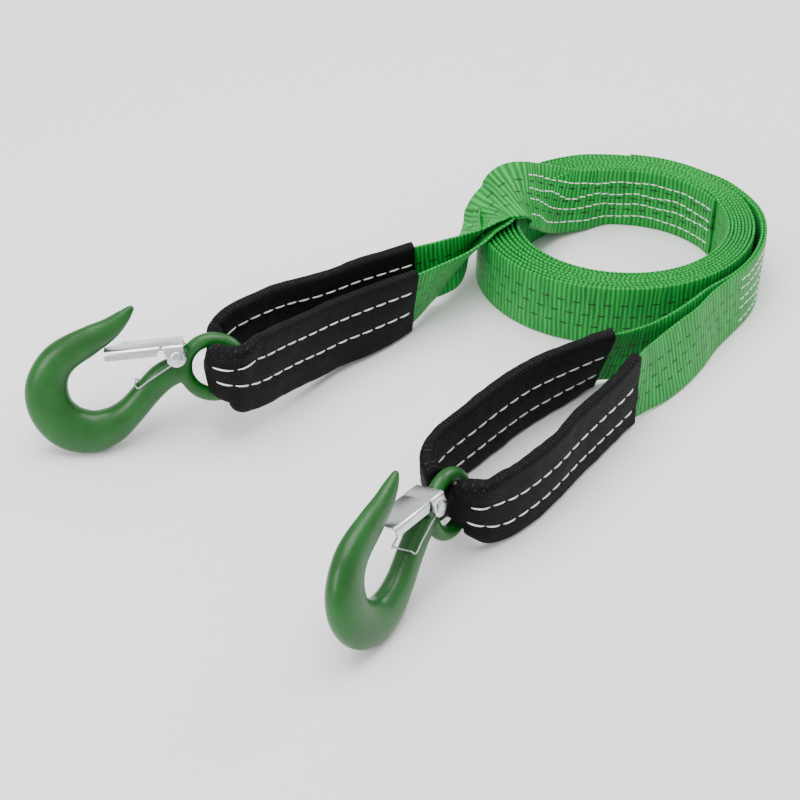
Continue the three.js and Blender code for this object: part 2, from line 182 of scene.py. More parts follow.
def finish_mesh(
    bm: bmesh.types.BMesh, name: str, place: Matrix | None = None
) -> bpy.types.Object:
    """Turns a mesh in millimetres into a finished object in the model's frame.

    Args:
        bm: the mesh, which is freed.
        name: the object's name.
        place: the matrix from the mesh's own frame to the coil's frame, if it has one.

    Returns:
        The new object.
    """
    if place is not None:
        bmesh.ops.transform(bm, matrix=place, verts=bm.verts)
    bmesh.ops.translate(bm, vec=SHIFT, verts=bm.verts)
    bmesh.ops.scale(bm, vec=Vector((MILLIMETRE,) * 3), verts=bm.verts)
    bmesh.ops.recalc_face_normals(bm, faces=bm.faces)
    for face in bm.faces:
        face.smooth = True
    mesh = bpy.data.meshes.new(name)
    bm.to_mesh(mesh)
    bm.free()
    return add_object(name, mesh)


def apply_modifiers(made: bpy.types.Object) -> None:
    """Replaces an object's mesh with the result of its modifiers and removes them."""
    graph = bpy.context.evaluated_depsgraph_get()
    mesh = bpy.data.meshes.new_from_object(made.evaluated_get(graph))
    made.modifiers.clear()
    made.data = mesh


def mount(
    made: bpy.types.Object, body: str, finish: "Finish", nodes: Iterable[str] = ()
) -> None:
    """Rides a finished piece on its body and gives it its material.

    Args:
        made: the piece.
        body: the name of the body that it moves with.
        finish: the finish that gives the material.
        nodes: the nodes that the piece stands for.
    """
    made.data.materials.clear()
    made.data.materials.append(finish.material())
    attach(made, body)
    for node in nodes:
        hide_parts(node)
    LOG.info("%s: %d faces on %s", made.name, len(made.data.polygons), body)


# Routes


@dataclass(frozen=True)
class Section:
    """The place and the axes of a strip's cross-section on its route."""

    middle: Vector
    ahead: Vector
    along: Vector
    across: Vector
    bunched: float


class Route:
    """A smooth way through stations, walked by its length in millimetres."""

    PER_SPAN = 24
    LEAST_KNOT = 1e-4
    REACH = 1.5

    def __init__(self, stations: Sequence[Station]) -> None:
        """Makes the route.

        Args:
            stations: x, y and height of the strip's middle, its lean in degrees and, where given,
                how far it is bunched, from 0 to 1.
        """
        self.stations = [tuple(station) + (0.0,) * (5 - len(station)) for station in stations]
        self.lengths: list[float] = [0.0]
        self.samples: list[Station] = []
        self.station_lengths: list[float] = []
        self._walk()

    def _point(self, index: int) -> list[float]:
        """Returns a station, or one carried on past an end of the route."""
        last = len(self.stations) - 1
        if 0 <= index <= last:
            return list(self.stations[index])
        end, inner = (0, 1) if index < 0 else (last, last - 1)
        return [2 * a - b for a, b in zip(self.stations[end], self.stations[inner])]

    def _span(self, index: int) -> list[Station]:
        """Returns the samples of one centripetal Catmull-Rom span, without its last point."""
        points = [self._point(index + k) for k in (-1, 0, 1, 2)]
        knots = [
            max(math.sqrt(math.dist(a[:3], b[:3])), self.LEAST_KNOT)
            for a, b in zip(points, points[1:])
        ]
        first, middle, last = knots
        made: list[Station] = []
        for step in range(self.PER_SPAN):
            share = step / self.PER_SPAN
            sample = []
            for p0, p1, p2, p3 in zip(*points):
                start = (p1 - p0) / first - (p2 - p0) / (first + middle) + (p2 - p1) / middle
                end = (p2 - p1) / middle - (p3 - p1) / (middle + last) + (p3 - p2) / last
                start, end = start * middle, end * middle
                square, cube = share * share, share ** 3
                sample.append(
                    (2 * cube - 3 * square + 1) * p1
                    + (cube - 2 * square + share) * start
                    + (3 * square - 2 * cube) * p2
                    + (cube - square) * end
                )
            made.append(tuple(sample))
        return made

    def _walk(self) -> None:
        """Fills the table of samples and their lengths."""
        for index in range(len(self.stations) - 1):
            for sample in self._span(index):
                self._add(sample)
            self.station_lengths.append(self.lengths[-self.PER_SPAN])
        self._add(self.stations[-1])
        self.station_lengths.append(self.lengths[-1])

    def _add(self, sample: Station) -> None:
        """Adds one sample to the table."""
        if self.samples:
            self.lengths.append(self.lengths[-1] + math.dist(sample[:3], self.samples[-1][:3]))
        self.samples.append(sample)

    @property
    def length(self) -> float:
        """Returns the whole length in millimetres."""
        return self.lengths[-1]

    def at(self, length: float) -> Station:
        """Returns the values of the stations at a length along the route."""
        length = min(max(length, 0.0), self.length)
        after = min(max(bisect.bisect_right(self.lengths, length), 1), len(self.lengths) - 1)
        span = self.lengths[after] - self.lengths[after - 1]
        share = (length - self.lengths[after - 1]) / max(span, 1e-9)
        start, end = self.samples[after - 1], self.samples[after]
        return tuple(a + (b - a) * share for a, b in zip(start, end))

    def section(self, length: float) -> Section:
        """Returns the cross-section's place and axes at a length along the route."""
        here = self.at(length)
        behind, before = self.at(length - self.REACH), self.at(length + self.REACH)
        ahead = (Vector(before[:3]) - Vector(behind[:3])).normalized()
        side = ahead.cross(UP).normalized()
        upright = side.cross(ahead)
        lean = math.radians(here[3])
        along = upright * math.cos(lean) + side * math.sin(lean)
        bunched = min(max(here[4], 0.0), 1.0)
        return Section(Vector(here[:3]), ahead, along, along.cross(ahead), bunched)


def smooth(share: float) -> float:
    """Returns a smooth ramp from 0 to 1 of a share that may lie outside them."""
    share = min(max(share, 0.0), 1.0)
    return share * share * (3 - 2 * share)


@dataclass(frozen=True)
class Hump:
    """A smooth rise from 0 to 1 after one angle and a fall before another, in degrees."""

    starts: float
    rise: float
    ends: float
    fall: float

    def at(self, place: float) -> float:
        """Returns the hump's height at an angle."""
        return smooth((place - self.starts) / self.rise) * smooth((self.ends - place) / self.fall)


def backwards(stations: Sequence[Station]) -> list[Station]:
    """Returns the stations of the same strip, travelled the other way."""
    return [(s[0], s[1], s[2], -s[3], *s[4:]) for s in reversed(stations)]


def turned(stations: Sequence[Station], degrees: float) -> list[Station]:
    """Returns stations with an angle added to their lean."""
    return [(s[0], s[1], s[2], s[3] + degrees, *s[4:]) for s in stations]


def beside(stations: Sequence[Station], distance: float) -> list[Station]:
    """Returns stations moved square to the strip's face by a distance."""
    route = Route(stations)
    moved = []
    for station, length in zip(stations, route.station_lengths):
        section = route.section(length)
        moved.append((*(Vector(station[:3]) + section.across * distance), *station[3:]))
    return moved


# The webbing


@dataclass
class Strap:
    """The strip of webbing: its size, its coil and the route of its whole length."""

    width: float = 50.0
    thickness: float = 1.95
    ply_gap: float = 0.45
    turns: int = 9
    bore_centre: Vector = field(default_factory=lambda: Vector((2.5, 0.0)))
    bore_half: Vector = field(default_factory=lambda: Vector((72.5, 60.0)))
    rim_centre: Vector = field(default_factory=lambda: Vector((-3.5, 0.3)))
    rim_half: Vector = field(default_factory=lambda: Vector((101.5, 83.0)))
    coil_start: float = 97.0
    coil_end: float = 42.0
    coil_step: float = 10.0
    spare_turns: float = 0.12
    floor_gap: float = 0.15
    lift: float = 0.5
    swell: float = 0.25
    swell_turn: float = 34.0
    tail_end: float = 22.0
    beside_tail: Hump = Hump(starts=14.0, rise=12.0, ends=125.0, fall=20.0)
    under_band: Hump = Hump(starts=20.0, rise=25.0, ends=100.0, fall=15.0)
    inner_angles: tuple[float, ...] = (34, 46, 58, 70, 82, 94)
    outer_angles: tuple[float, ...] = (80, 68, 56, 45)
    eye_spans: dict[Side, tuple[int, int]] = field(default_factory=dict)

    @property
    def half_pair(self) -> float:
        """Returns the distance from the middle of a doubled stretch to the middle of a ply."""
        return (self.thickness + self.ply_gap) / 2

    def wall(self, angle: float, share: float, inset: float = 0.0) -> Vector:
        """Returns a point between the coil's bore and its rim.

        Args:
            angle: the direction from the middle, in degrees.
            share: 0 at the bore and 1 at the rim.
            inset: a distance outwards from the bore, or inwards from the rim where negative.

        Returns:
            The point, on the floor.
        """
        cos, sin = math.cos(math.radians(angle)), math.sin(math.radians(angle))
        bore = self.bore_centre + Vector((self.bore_half.x * cos, self.bore_half.y * sin))
        rim = self.rim_centre + Vector((self.rim_half.x * cos, self.rim_half.y * sin))
        return bore.lerp(rim, share) + Vector((cos, sin)) * inset

    def coil(self) -> list[Station]:
        """Returns the stations of the wound turns, from the bore outwards.

        The sewn tail inside pushes the turns out, and the doubled band outside presses them in.
        """
        stations: list[Station] = []
        sweep = FULL_TURN * (self.turns - 1) + self.coil_start - self.coil_end
        count = round(sweep / self.coil_step)
        tail = self.thickness + self.ply_gap
        for index in range(count + 1):
            turned_by = sweep * index / count
            angle = self.coil_start - turned_by
            place = angle % FULL_TURN
            done = turned_by / FULL_TURN
            share = (done + 0.5) / (self.turns + self.spare_turns)
            inner = self.wall(angle, 0.0, tail * self.beside_tail.at(place))
            outer = self.wall(angle, 1.0, -tail * self.under_band.at(place))
            wobble = noise.noise(Vector((done * 7.3, 1.7, 0.4))) * self.lift
            point = inner.lerp(outer, share)
            swell = self.swell * noise.noise(Vector((turned_by / self.swell_turn, 5.0, done)))
            point += point.normalized() * swell
            height = self.width / 2 + self.floor_gap + abs(wobble)
            stations.append((point.x, point.y, height, 0.0))
        return stations

    def _on_wall(self, angles: Iterable[float], share: float, inset: float) -> list[Station]:
        """Returns stations at angles of the coil's wall, with the wall's share and inset."""
        points = [self.wall(angle, share, inset) for angle in angles]
        return [(point.x, point.y, self.width / 2, 0.0) for point in points]

    def left_pair(self) -> list[Station]:
        """Returns the middle of the doubled stretch at the left end, outwards from the coil."""
        inset = self.thickness + self.ply_gap / 2
        return self._on_wall((self.tail_end, *self.inner_angles), 0.0, inset) + LEFT_CROSSING

    def right_pair(self) -> list[Station]:
        """Returns the middle of the doubled stretch at the right end, outwards from the coil."""
        inset = self.thickness + self.ply_gap / 2
        return self._on_wall(self.outer_angles, 1.0, -inset) + RIGHT_BAND

    def route(self) -> Route:
        """Returns the route of the whole strip, from the left tail to the right tail.

        It also fills eye_spans with each eye's first station and its number of stations.
        """
        left_tail = beside(self.left_pair(), self.half_pair)
        left_main = backwards(beside(self.left_pair(), -self.half_pair))
        right_main = beside(self.right_pair(), -self.half_pair)
        right_tail = backwards(beside(self.right_pair(), self.half_pair))
        left_eye = eye_stations(LEFT_EYE, Side.LEFT)
        right_eye = eye_stations(RIGHT_EYE, Side.RIGHT)
        after_left_eye = [
            *left_main[:-1 - len(self.inner_angles)],
            *self.coil(),
            *right_main[len(self.outer_angles):],
            *backwards(right_eye),
            *right_tail,
        ]
        stations = [
            *left_tail, *turned(left_eye, FULL_TURN / 2), *turned(after_left_eye, FULL_TURN)
        ]
        self.eye_spans = {
            Side.LEFT: (len(left_tail), len(left_eye)),
            Side.RIGHT: (len(stations) - len(right_tail) - len(right_eye), len(right_eye)),
        }
        return Route(stations)


SLEEVE_MID = 29.3
WEB_MID = 25.0
LEFT_CROSSING: list[Station] = [
    (-20, 57, 26, 8),
    (-38, 50, 30, 15),
    (-52, 39.5, 40, 27),
    (-63, 29, 50, 42),
    (-74, 22, 57, 64),
    (-84, 15, 57, 88),
    (-92, 10, 53, 106),
]
RIGHT_BAND: list[Station] = [
    (79, 48.5, WEB_MID, 0),
    (88, 37.5, WEB_MID, 0),
    (95.5, 25, WEB_MID, 0),
    (100.5, 12, WEB_MID, 0),
    (101.8, -3, WEB_MID, 0),
    (99.3, -20, WEB_MID, 0),
    (93, -38, WEB_MID, 2),
    (84, -53, WEB_MID, 3),
    (73, -66, WEB_MID, 5),
]
LEFT_EYE: list[Station | None] = [
    (-99, 2, 47, -52),
    (-104, -8, 41, -32),
    (-110, -18, 36, -14),
    (-118, -27, 33, -4),
    (-131, -34, 31.5, 0),
    (-149, -40, 30.5, 0),
    (-168, -50, 30.5, 0),
    (-190, -63, 32, 0),
    (-212, -79, 34, 0),
    (-235, -93, 37, 0),
    (-257, -113, 42, 0),
    (-272, -128, 44, 0, 0.1),
    (-279.5, -139.5, 44, 0, 0.3),
    None,
    (-264.5, -176.5, 56, 0, 0.36),
    (-252, -166, 50, 0),
    (-237, -147, 44, 0),
    (-220, -127, 38, 0),
    (-199, -105, 33, 0),
    (-175, -87, 30.5, 0),
    (-150, -68, 30, 8),
    (-131, -48, 30.5, 20),
    (-119, -35, 32, 28),
    (-110, -22, 35, 36),
    (-104, -8, 40, 48),
    (-97, 2, 46, 62),
]
RIGHT_EYE: list[Station | None] = [
    (60, -83, WEB_MID, 8),
    (47, -102.5, WEB_MID, 11),
    (33, -119, WEB_MID, 15),
    (18, -135, WEB_MID, 14),
    (6, -147, 26.5, 9),
    (-4, -160, SLEEVE_MID, 3),
    (-14, -174, SLEEVE_MID, 0),
    (-30, -194, SLEEVE_MID, 0),
    (-47, -216, SLEEVE_MID, 0),
    (-62, -237, SLEEVE_MID, 0),
    (-78, -255, SLEEVE_MID, 0),
    (-94, -269, SLEEVE_MID + 1, 0),
    (-107, -275, SLEEVE_MID + 4, 0, 0.32),
    None,
    (-141, -252, SLEEVE_MID + 1, 0, 0.3),
    (-139, -239, SLEEVE_MID, 0),
    (-129, -223, SLEEVE_MID, 0),
    (-112, -204, SLEEVE_MID, 0),
    (-95, -185, SLEEVE_MID, 0),
    (-77, -167, SLEEVE_MID, 2),
    (-58, -152, SLEEVE_MID, 5),
    (-39, -139, SLEEVE_MID, 10),
    (-22, -127, 28, 14),
    (-6, -121, 26, 9),
    (11, -116, WEB_MID, 0),
    (28, -107, WEB_MID, -7),
    (42, -95, WEB_MID, -9),
    (56, -80, WEB_MID, -8),
]
RING_BORE = 13.8
RING_STOCK = 4.9
BUNDLE = (21.7, 18.7)
BUNDLE_GAP = 0.95
RING_REACH = 2.3 * RING_STOCK
BY_RING_BUNCHED = 0.5


def eye_stations(stations: Sequence[Station | None], side: Side) -> list[Station]:
    """Fills in the stations in a hook's ring.

    Args:
        stations: an eye's stations, with None at the hook.
        side: the end of the strap.

    Returns:
        The whole list of stations.
    """
    place = HOOK_PLACES[side]
    u, _, w = place.axes
    in_ring = place.ring - u * (RING_BORE - BUNDLE[1] / 2 - BUNDLE_GAP)
    gap = stations.index(None)
    before = Vector(stations[gap - 1][:3])
    ahead = w if (in_ring - before).dot(w) > 0 else -w
    through = [
        (*(in_ring + ahead * distance), 0.0, bunched)
        for distance, bunched in (
            (-RING_REACH, BY_RING_BUNCHED), (0.0, 1.0), (RING_REACH, BY_RING_BUNCHED)
        )
    ]
    return [*stations[:gap], *through, *stations[gap + 1:]]


def across_strip(size: tuple[float, float], straight: float, bow: float = 0.0) -> float:
    """Returns the distance from a strip's middle line to a point of its outline.

    Args:
        size: the strip's width and thickness.
        straight: the place on the straight width, from -1 to 1.
        bow: the round end's reach past it, from -1 to 1.

    Returns:
        The distance, in the unit of the size.
    """
    width, thickness = size
    return straight * (width - thickness) / 2 + bow * thickness / 2


@dataclass
class Strip:
    """A woven strip or flat tube along a stretch of a route."""

    route: Route
    start: float
    end: float
    flat: tuple[float, float]
    bunch: tuple[float, float]
    step: float = 4.0
    across_count: int = 8
    round_count: int = 3
    relief: Callable[[float, float, float], float] = lambda length, across, face: 0.0

    def outline(self) -> list[tuple[float, float, float]]:
        """Returns the outline's points: a share of the straight width and a unit vector."""
        points: list[tuple[float, float, float]] = []
        for face in (1.0, -1.0):
            for index in range(self.across_count + 1):
                points.append((face * (2 * index / self.across_count - 1), 0.0, face))
            for index in range(1, self.round_count + 1):
                angle = math.pi * index / (self.round_count + 1)
                points.append((face, face * math.sin(angle), face * math.cos(angle)))
        return points

    def size(self, bunched: float) -> tuple[float, float]:
        """Returns the width and the thickness for a share of bunching."""
        return tuple(a + (b - a) * smooth(bunched) for a, b in zip(self.flat, self.bunch))

    def point(self, length: float, straight: float, bow: float, rise: float) -> Vector:
        """Returns a point on the strip's surface.

        Args:
            length: the length along the route.
            straight: the place on the straight width, from -1 to 1.
            bow: the round end's reach past it, from -1 to 1.
            rise: the side of the strip, from -1 to 1.

        Returns:
            The point, in millimetres.
        """
        section = self.route.section(length)
        size = self.size(section.bunched)
        thickness = size[1]
        across = across_strip(size, straight, bow)
        swell = self.relief(length, across, rise)
        level = rise * thickness / 2 + math.copysign(swell, rise) * min(abs(rise) * 1.5, 1.0)
        return section.middle + section.along * across + section.across * level

    def build(self, name: str) -> bpy.types.Object:
        """Returns the strip as an object, with its length and its width on its map."""
        steps = max(2, round((self.end - self.start) / self.step))
        outline = self.outline()
        sides = len(outline)

        def length_at(step: float) -> float:
            """Returns the length along the route at a step."""
            return self.start + (self.end - self.start) * step / steps

        def place(step: float, side: float) -> Vector:
            """Returns the grid's point."""
            return self.point(length_at(step), *outline[int(side)])

        def chart(step: float, side: float) -> Vector:
            """Returns the map's point: metres along the strip, and metres across it."""
            straight, bow, _ = outline[int(side) % sides]
            across = across_strip(self.flat, straight, bow)
            return Vector((length_at(step) * MILLIMETRE, across * MILLIMETRE))

        bm = bmesh.new()
        wrap_grid(bm, steps, sides, place, chart)
        return finish_mesh(bm, name)


# Finishes


class Graph:
    """A material whose nodes are added by short calls.

    Each input of a call is either a socket to link from or a plain value.
    """

    MIX_COLOURS = (6, 7)
    MIX_RESULT = 2

    def __init__(self, name: str) -> None:
        """Makes an empty material with its shader."""
        self.material = bpy.data.materials.new(name)
        self.material.use_nodes = True
        self.tree = self.material.node_tree
        self.shader = self.tree.nodes["Principled BSDF"]

    def set(self, **values: object) -> None:
        """Sets the shader's own sockets, named with underscores for spaces."""
        for key, value in values.items():
            self.shader.inputs[key.replace("_", " ")].default_value = value

    def node(
        self, kind: str, inputs: dict[str | int, object], **settings: object
    ) -> bpy.types.Node:
        """Adds a node.

        Args:
            kind: the node's type, without its ShaderNode prefix.
            inputs: sockets to link from, or values, by the input's name or number.
            settings: the node's own settings.

        Returns:
            The node.
        """
        made = self.tree.nodes.new(f"ShaderNode{kind}")
        for key, value in settings.items():
            setattr(made, key, value)
        for key, value in inputs.items():
            if isinstance(value, bpy.types.NodeSocket):
                self.tree.links.new(value, made.inputs[key])
            else:
                made.inputs[key].default_value = value
        return made

    def math(
        self, operation: str, first: object, second: object = 0.0, third: object = 0.0
    ) -> bpy.types.NodeSocket:
        """Adds a Math node for an operation on up to three inputs and returns its output."""
        return self.node("Math", {0: first, 1: second, 2: third}, operation=operation).outputs[0]

    def times(self, first: object, second: object) -> bpy.types.NodeSocket:
        """Returns the product of two inputs."""
        return self.math("MULTIPLY", first, second)

    def ramp(self, value: object, low: float, high: float) -> bpy.types.NodeSocket:
        """Returns a value mapped smoothly from low and high to 0 and 1."""
        inputs = {"Value": value, "From Min": low, "From Max": high}
        return self.node("MapRange", inputs, interpolation_type="SMOOTHSTEP").outputs[0]

    def noise(self, vector: object, scale: float, detail: float = 2.0) -> bpy.types.NodeSocket:
        """Returns a noise value."""
        inputs = {"Vector": vector, "Scale": scale, "Detail": detail}
        return self.node("TexNoise", inputs).outputs[0]

    def stretched(
        self, x: object, y: object, scales: tuple[float, float]
    ) -> bpy.types.NodeSocket:
        """Returns a noise value of two inputs, each with its own scale."""
        return self.noise(self.combine(self.times(x, scales[0]), self.times(y, scales[1])), 1.0)

    def mix(self, share: object, first: object, second: object) -> bpy.types.NodeSocket:
        """Returns a mix of two colours."""
        made = self.node("Mix", {"Factor": share}, data_type="RGBA")
        for index, value in zip(self.MIX_COLOURS, (first, second)):
            if isinstance(value, bpy.types.NodeSocket):
                self.tree.links.new(value, made.inputs[index])
            else:
                made.inputs[index].default_value = (*value, 1.0)
        return made.outputs[self.MIX_RESULT]

    def bump(self, height: object, distance: float, strength: float) -> None:
        """Bumps the shader by a height from 0 to 1 over a distance in metres."""
        inputs = {"Height": height, "Distance": distance, "Strength": strength}
        self.link(self.node("Bump", inputs).outputs[0], "Normal")

    def link(self, output: bpy.types.NodeSocket, socket: str) -> None:
        """Links an output to one of the shader's sockets."""
        self.tree.links.new(output, self.shader.inputs[socket])

    def coordinates(self, name: str, scale: float = 1000.0) -> tuple[bpy.types.NodeSocket, ...]:
        """Returns the scaled vector of a texture coordinate, and its three parts after it."""
        raw = self.node("TexCoord", {}).outputs[name]
        inputs = {0: raw, 1: (scale,) * 3}
        scaled = self.node("VectorMath", inputs, operation="MULTIPLY").outputs[0]
        parts = self.node("SeparateXYZ", {0: scaled}).outputs
        return scaled, parts[0], parts[1], parts[2]

    def combine(self, x: object, y: object, z: object = 0.0) -> bpy.types.NodeSocket:
        """Returns a vector of three values."""
        return self.node("CombineXYZ", {0: x, 1: y, 2: z}).outputs[0]

    def wave(self, value: object, pitch: float) -> bpy.types.NodeSocket:
        """Returns a sine from 0 to 1 of a value, with a pitch."""
        sine = self.math("SINE", self.times(value, 2 * math.pi / pitch))
        return self.math("MULTIPLY_ADD", sine, 0.5, 0.5)


class Finish:
    """A finish that makes its material once."""

    def __init__(self) -> None:
        """Makes a finish with no material yet."""
        self._material: bpy.types.Material | None = None

    def material(self) -> bpy.types.Material:
        """Returns the finish's material."""
        if self._material is None:
            self._material = self.make()
        return self._material

    def make(self) -> bpy.types.Material:
        """Makes the material; each finish has its own."""
        raise NotImplementedError


class GreenWebbing(Finish):
    """Bright green polyester webbing with cross ribs and three rows of black tracer threads."""

    deep = (0.0, 0.105, 0.01)
    bright = (0.0, 0.5, 0.055)
    tracer = (0.006, 0.008, 0.006)
    rib_pitch = 3.3
    yarn_pitch = 0.95
    pick_pitch = 0.82
    tracer_rows = 10.0
    tracer_half_width = 0.058
    tracer_last_row = 1.4
    tracer_pitch = 11.0
    tracer_step = 0.37
    tracer_share = 0.47
    relief = 0.0007

    def make(self) -> bpy.types.Material:
        """Makes the material on the strip's own map."""
        g = Graph("green_webbing")
        _, along, across, _ = g.coordinates("UV")
        drift = g.stretched(along, across, (0.05, 0.02))
        ribs = g.wave(g.math("MULTIPLY_ADD", drift, 5.0, along), self.rib_pitch)
        streak = g.stretched(along, across, (0.28, 0.035))
        grain = g.stretched(along, across, (0.55, 1.3))
        weave = g.times(g.wave(across, self.yarn_pitch), g.wave(along, self.pick_pitch))
        tone = g.math("MULTIPLY_ADD", ribs, 0.42, g.times(streak, 0.5))
        tone = g.math("ADD", tone, g.math("MULTIPLY_ADD", grain, 0.42, -0.12))
        base = g.mix(g.ramp(tone, 0.2, 1.05), self.deep, self.bright)
        row = g.math("DIVIDE", across, self.tracer_rows)
        nearest = g.math("ROUND", row)
        off_row = g.math("ABSOLUTE", g.math("SUBTRACT", row, nearest))
        in_row = g.math("LESS_THAN", off_row, self.tracer_half_width)
        is_row = g.math("LESS_THAN", g.math("ABSOLUTE", row), self.tracer_last_row)
        place = g.math("DIVIDE", along, self.tracer_pitch)
        place = g.math("ADD", place, g.times(nearest, self.tracer_step))
        dash = g.math("LESS_THAN", g.math("FRACT", place), self.tracer_share)
        tracer = g.times(g.times(in_row, is_row), dash)
        g.link(g.mix(tracer, base, self.tracer), "Base Color")
        height = g.math("MULTIPLY_ADD", ribs, 0.55, g.times(weave, 0.4))
        height = g.math("ADD", height, g.times(grain, 0.35))
        g.bump(height, self.relief, 0.8)
        g.link(g.math("MULTIPLY_ADD", grain, 0.3, 0.34), "Roughness")
        g.set(Sheen_Weight=0.04, Sheen_Roughness=0.4, Specular_IOR_Level=0.28)
        return g.material


class BlackWeave(Finish):
    """Black nylon cloth with a diagonal weave, with painted sheen as lighter specks on its raised
    cells.
    """

    dark = (0.0006, 0.0006, 0.0008)
    # The lighter grey is painted sheen on the raised yarns of the weave.
    painted_sheen = (0.038, 0.039, 0.043)
    cell_pitch = 2.6
    relief = 0.0006

    def make(self) -> bpy.types.Material:
        """Makes the material on the sleeve's own map."""
        g = Graph("black_weave")
        chart, along, across, _ = g.coordinates("UV")
        wander = g.stretched(along, across, (0.1, 0.1))
        skew = g.math("MULTIPLY_ADD", wander, 2.0, along)
        cells = g.times(
            g.wave(g.math("ADD", skew, across), self.cell_pitch),
            g.wave(g.math("SUBTRACT", skew, across), self.cell_pitch),
        )
        fuzz = g.noise(chart, 1.6, 3.0)
        # Painted sheen: the lighter grey goes on the raised weave cells, broken into specks by the
        # noise.
        tone = g.times(g.ramp(cells, 0.4, 1.0), g.ramp(fuzz, 0.42, 0.7))
        g.link(g.mix(tone, self.dark, self.painted_sheen), "Base Color")
        g.bump(g.math("MULTIPLY_ADD", cells, 0.8, g.times(fuzz, 0.35)), self.relief, 0.9)
        g.set(Roughness=0.7, Specular_IOR_Level=0.14)
        return g.material


class WhiteThread(Finish):
    """White sewing thread."""

    def make(self) -> bpy.types.Material:
        """Makes the material on object coordinates."""
        g = Graph("white_thread")
        spots = g.noise(g.coordinates("Object")[0], 1.4)
        g.link(g.mix(spots, (0.72, 0.72, 0.7), (0.93, 0.93, 0.92)), "Base Color")
        g.bump(spots, 0.0003, 0.5)
        g.set(Roughness=0.6)
        return g.material


class GreenPaint(Finish):
    """Glossy dark green paint on forged steel."""

    deep = (0.0015, 0.06, 0.003)
    bright = (0.004, 0.092, 0.008)

    def make(self) -> bpy.types.Material:
        """Makes the material on object coordinates."""
        g = Graph("green_paint")
        place = g.coordinates("Object")[0]
        blotch = g.noise(place, 0.035, 3.0)
        peel = g.noise(place, 0.32)
        pits = g.noise(place, 1.1, 3.0)
        g.link(g.mix(g.ramp(blotch, 0.3, 0.7), self.deep, self.bright), "Base Color")
        g.bump(g.math("MULTIPLY_ADD", peel, 0.8, g.times(pits, 0.25)), 0.0005, 0.35)
        g.link(g.math("MULTIPLY_ADD", peel, 0.14, 0.3), "Roughness")
        g.set(Specular_IOR_Level=0.38, Coat_Weight=0.1, Coat_Roughness=0.15)
        return g.material


class ZincPlate(Finish):
    """Zinc-plated steel with fine rolling lines."""

    shade = 0.72

    def __init__(self, name: str, colour: tuple[float, float, float], roughness: float) -> None:
        """Makes the finish.

        Args:
            name: the material's name.
            colour: its base colour.
            roughness: its mean roughness.
        """
        super().__init__()
        self.name = name
        self.colour = colour
        self.roughness = roughness

    def make(self) -> bpy.types.Material:
        """Makes the material on object coordinates."""
        g = Graph(self.name)
        place, x, y, z = g.coordinates("Object")
        lines = g.noise(g.combine(g.times(x, 0.1), g.times(y, 0.9), z), 1.2, 3.0)
        clouds = g.noise(place, 0.12)
        dark = tuple(part * self.shade for part in self.colour)
        g.link(g.mix(clouds, dark, self.colour), "Base Color")
        g.link(g.math("MULTIPLY_ADD", lines, 0.22, self.roughness - 0.1), "Roughness")
        g.bump(lines, 0.0002, 0.25)
        g.set(Metallic=1.0)
        return g.material


class PaleFloor(Finish):
    """A plain pale floor."""

    def make(self) -> bpy.types.Material:
        """Makes the material."""
        g = Graph("pale_floor")
        g.set(Base_Color=(0.86, 0.86, 0.86, 1.0), Roughness=0.75, Specular_IOR_Level=0.2)
        return g.material


WEBBING = GreenWebbing()
SLEEVE = BlackWeave()
THREAD = WhiteThread()
PAINT = GreenPaint()
PLATE = ZincPlate("zinc_plate", (0.78, 0.8, 0.82), 0.27)
RIVET_STEEL = ZincPlate("rivet_steel", (0.7, 0.72, 0.73), 0.3)
WIRE = ZincPlate("spring_wire", (0.42, 0.43, 0.44), 0.3)


# The fittings


def spin_round(bm: bmesh.types.BMesh, geometry: list[object], steps: int) -> None:
    """Spins vertices and edges a whole turn about the upright axis, in a number of steps."""
    bmesh.ops.spin(
        bm, geom=geometry, cent=(0, 0, 0), axis=UP, angle=2 * math.pi, steps=steps, use_merge=True
    )


